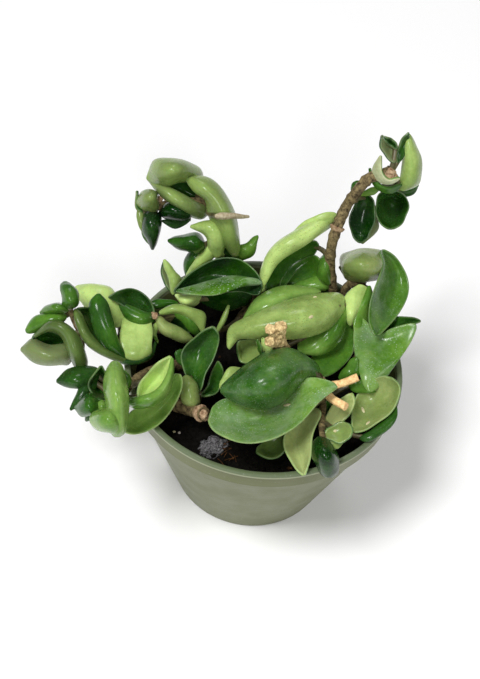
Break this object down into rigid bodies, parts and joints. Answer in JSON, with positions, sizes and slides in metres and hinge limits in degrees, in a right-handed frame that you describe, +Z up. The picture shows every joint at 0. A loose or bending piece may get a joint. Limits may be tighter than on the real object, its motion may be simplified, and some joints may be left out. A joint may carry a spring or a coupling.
{
  "type": "potted rope plant",
  "caption": "Trailing succulent vines with thick, curled and folded glossy green leaves, growing from soil in a tapered round nursery pot.",
  "frame": {"origin": "middle of the pot's underside", "axes": "+Z up, +X to the right in the picture, +Y away from the viewer"},
  "size_m": [0.1501, 0.1197, 0.1411],
  "materials": {
    "leaf_mid": "waxy semi-gloss leaf, fresh green",
    "leaf_pale": "satin leaf, pale yellow-green underside",
    "leaf_deep": "glossy leaf, deep green upper side",
    "wood": "rough tan bark",
    "pot": "matte grey-green moulded plastic",
    "soil": "dark crumbly potting mix"
  },
  "bodies": {
    "root": {"front_vine": "leaf_mid", "centre_vine": "leaf_pale", "back_right_vine": "leaf_mid", "right_vine": "leaf_mid", "front_right_vine": "leaf_pale", "inner_vine": "leaf_deep", "left_root_vine": "leaf_mid", "left_vine": "leaf_pale", "left_low_vine": "leaf_deep", "back_left_vine": "leaf_mid", "bowl_vine": "leaf_deep", "stub": "wood", "root_stub": "wood", "pot": "pot", "soil": "soil"}
  },
  "joints": []
}
